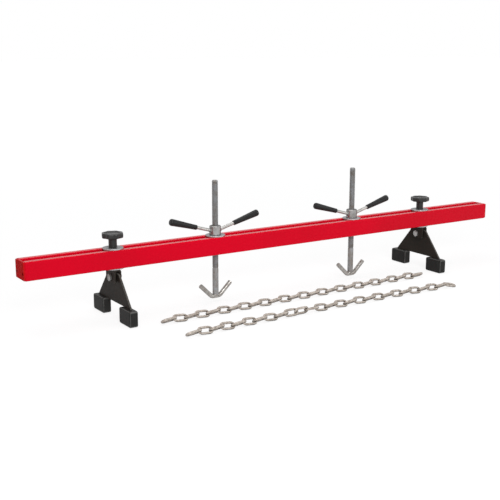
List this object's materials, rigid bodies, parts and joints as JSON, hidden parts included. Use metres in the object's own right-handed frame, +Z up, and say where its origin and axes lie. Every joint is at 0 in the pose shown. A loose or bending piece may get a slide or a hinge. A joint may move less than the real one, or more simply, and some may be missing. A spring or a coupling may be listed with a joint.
{
  "type": "engine support bar",
  "caption": "Slotted red steel bar on clamped swivel feet with rubber pads, carrying screw-adjusted lifting hooks under handled nuts, with loose chains, to hold a car engine from above.",
  "frame": {"origin": "on the floor under the pads, at the middle of the rectangle that the bar and the chains cover", "axes": "+X along the bar to its right end as pictured, +Y away from the chains, +Z up"},
  "size_m": [1.5, 0.3594, 0.321],
  "materials": {
    "red_paint": "smooth glossy red enamel",
    "black_paint": "satin black paint",
    "pad_rubber": "moulded matt black rubber",
    "grip_rubber": "smooth black dipped rubber",
    "knob_plastic": "moulded black plastic",
    "insert_brass": "turned",
    "bright_zinc": "bright zinc plated steel",
    "bright_steel": "plated round steel bar",
    "chain_zinc": "warm grey galvanised wire"
  },
  "bodies": {
    "bar": {"front_rail": "red_paint", "rear_rail": "red_paint", "left_end_plate": "red_paint", "right_end_plate": "red_paint"},
    "left_leg_carriage": {"left_upper_washer": "bright_zinc", "left_lower_washer": "bright_zinc"},
    "left_foot_swivel": {"left_clamp_stud": "bright_zinc", "left_swivel_hanger": "black_paint", "left_pivot_bolt": "bright_zinc", "left_pivot_nut": "bright_zinc"},
    "left_foot": {"left_foot_plate": "black_paint", "left_front_pad": "pad_rubber", "left_rear_pad": "pad_rubber"},
    "left_knob": {"left_clamp_knob": "knob_plastic", "left_knob_insert": "insert_brass"},
    "right_leg_carriage": {"right_upper_washer": "bright_zinc", "right_lower_washer": "bright_zinc"},
    "right_foot_swivel": {"right_clamp_stud": "bright_zinc", "right_swivel_hanger": "black_paint", "right_pivot_bolt": "bright_zinc", "right_pivot_nut": "bright_zinc"},
    "right_foot": {"right_foot_plate": "black_paint", "right_front_pad": "pad_rubber", "right_rear_pad": "pad_rubber"},
    "right_knob": {"right_clamp_knob": "knob_plastic", "right_knob_insert": "insert_brass"},
    "left_hook_carriage": {"left_thrust_washer": "bright_zinc"},
    "left_nut": {"left_hand_nut": "bright_zinc", "left_outer_handle_bar": "bright_steel", "left_outer_grip": "grip_rubber", "left_inner_handle_bar": "bright_steel", "left_inner_grip": "grip_rubber"},
    "left_lifting_screw": {"left_lifting_rod": "bright_zinc", "left_lifting_hook": "bright_steel"},
    "right_hook_carriage": {"right_thrust_washer": "bright_zinc"},
    "right_nut": {"right_hand_nut": "bright_zinc", "right_outer_handle_bar": "bright_steel", "right_outer_grip": "grip_rubber", "right_inner_handle_bar": "bright_steel", "right_inner_grip": "grip_rubber"},
    "right_lifting_screw": {"right_lifting_rod": "bright_zinc", "right_lifting_hook": "bright_steel"},
    "rear_chain_middle": {"rear_chain_piece_4": "chain_zinc", "rear_chain_piece_5": "chain_zinc", "rear_chain_piece_6": "chain_zinc"},
    "rear_chain_left_run": {"rear_chain_piece_1": "chain_zinc", "rear_chain_piece_2": "chain_zinc", "rear_chain_piece_3": "chain_zinc"},
    "rear_chain_right_run": {"rear_chain_piece_7": "chain_zinc", "rear_chain_piece_8": "chain_zinc", "rear_chain_piece_9": "chain_zinc"},
    "front_chain_middle": {"front_chain_piece_4": "chain_zinc", "front_chain_piece_5": "chain_zinc", "front_chain_piece_6": "chain_zinc"},
    "front_chain_left_run": {"front_chain_piece_1": "chain_zinc", "front_chain_piece_2": "chain_zinc", "front_chain_piece_3": "chain_zinc"},
    "front_chain_right_run": {"front_chain_piece_7": "chain_zinc", "front_chain_piece_8": "chain_zinc", "front_chain_piece_9": "chain_zinc"}
  },
  "joints": [
    {"name": "left_leg_slide", "type": "slide", "parent": "bar", "child": "left_leg_carriage", "axis": [1, 0, 0], "range_m": [-0.2, 0.06]},
    {"name": "left_foot_turn", "type": "hinge", "parent": "left_leg_carriage", "child": "left_foot_swivel", "pos_m": [-0.5135, 0.07221, 0.126], "axis": [0, 0, 1], "range_deg": [-90, 90]},
    {"name": "left_foot_rock", "type": "hinge", "parent": "left_foot_swivel", "child": "left_foot", "pos_m": [-0.5135, 0.07221, 0.104], "axis": [1, 0, 0], "range_deg": [-10, 10]},
    {"name": "left_knob_turn", "type": "hinge", "parent": "left_foot_swivel", "child": "left_knob", "pos_m": [-0.5135, 0.07221, 0.178], "axis": [0, 0, 1], "continuous": true},
    {"name": "right_leg_slide", "type": "slide", "parent": "bar", "child": "right_leg_carriage", "axis": [1, 0, 0], "range_m": [-0.01, 0.2]},
    {"name": "right_foot_turn", "type": "hinge", "parent": "right_leg_carriage", "child": "right_foot_swivel", "pos_m": [0.495, 0.07221, 0.126], "axis": [0, 0, 1], "range_deg": [-90, 90]},
    {"name": "right_foot_rock", "type": "hinge", "parent": "right_foot_swivel", "child": "right_foot", "pos_m": [0.495, 0.07221, 0.104], "axis": [1, 0, 0], "range_deg": [-10, 10]},
    {"name": "right_knob_turn", "type": "hinge", "parent": "right_foot_swivel", "child": "right_knob", "pos_m": [0.495, 0.07221, 0.178], "axis": [0, 0, 1], "continuous": true},
    {"name": "left_hook_slide", "type": "slide", "parent": "bar", "child": "left_hook_carriage", "axis": [1, 0, 0], "range_m": [-0.06, 0.11]},
    {"name": "left_nut_spin", "type": "hinge", "parent": "left_hook_carriage", "child": "left_nut", "pos_m": [-0.2223, 0.07221, 0.178], "axis": [0, 0, 1], "range_deg": [-13500, 20700]},
    {"name": "left_screw_lift", "type": "slide", "parent": "left_hook_carriage", "child": "left_lifting_screw", "axis": [0, 0, 1], "range_m": [-0.1151, 0.0751]},
    {"name": "right_hook_slide", "type": "slide", "parent": "bar", "child": "right_hook_carriage", "axis": [1, 0, 0], "range_m": [-0.06, 0.08]},
    {"name": "right_nut_spin", "type": "hinge", "parent": "right_hook_carriage", "child": "right_nut", "pos_m": [0.2323, 0.07221, 0.178], "axis": [0, 0, 1], "range_deg": [-13500, 20700]},
    {"name": "right_screw_lift", "type": "slide", "parent": "right_hook_carriage", "child": "right_lifting_screw", "axis": [0, 0, 1], "range_m": [-0.1151, 0.0751]},
    {"name": "rear_chain_lift", "type": "slide", "parent": "bar", "child": "rear_chain_middle", "axis": [0, 0, 1], "range_m": [0, 0.1]},
    {"name": "rear_chain_left_bend", "type": "hinge", "parent": "rear_chain_middle", "child": "rear_chain_left_run", "pos_m": [-0.15449, -0.04259, 0.01017], "axis": [-0.0706, 0.7418, -0.6669], "range_deg": [0, 30]},
    {"name": "rear_chain_right_bend", "type": "hinge", "parent": "rear_chain_middle", "child": "rear_chain_right_run", "pos_m": [0.12307, -0.03677, 0.00709], "axis": [0.0706, -0.7418, 0.6669], "range_deg": [0, 30]},
    {"name": "front_chain_lift", "type": "slide", "parent": "bar", "child": "front_chain_middle", "axis": [0, 0, 1], "range_m": [0, 0.1]},
    {"name": "front_chain_left_bend", "type": "hinge", "parent": "front_chain_middle", "child": "front_chain_left_run", "pos_m": [-0.15464, -0.15964, 0.01017], "axis": [-0.0124, 0.7659, -0.6428], "range_deg": [0, 30]},
    {"name": "front_chain_right_bend", "type": "hinge", "parent": "front_chain_middle", "child": "front_chain_right_run", "pos_m": [0.12974, -0.15768, 0.01017], "axis": [0.0434, -0.7439, 0.6669], "range_deg": [0, 30]}
  ],
  "couplings": [
    {"joint": "left_screw_lift", "follows": "left_nut_spin", "m_per_rad": -0.00031831},
    {"joint": "right_screw_lift", "follows": "right_nut_spin", "m_per_rad": -0.00031831}
  ]
}
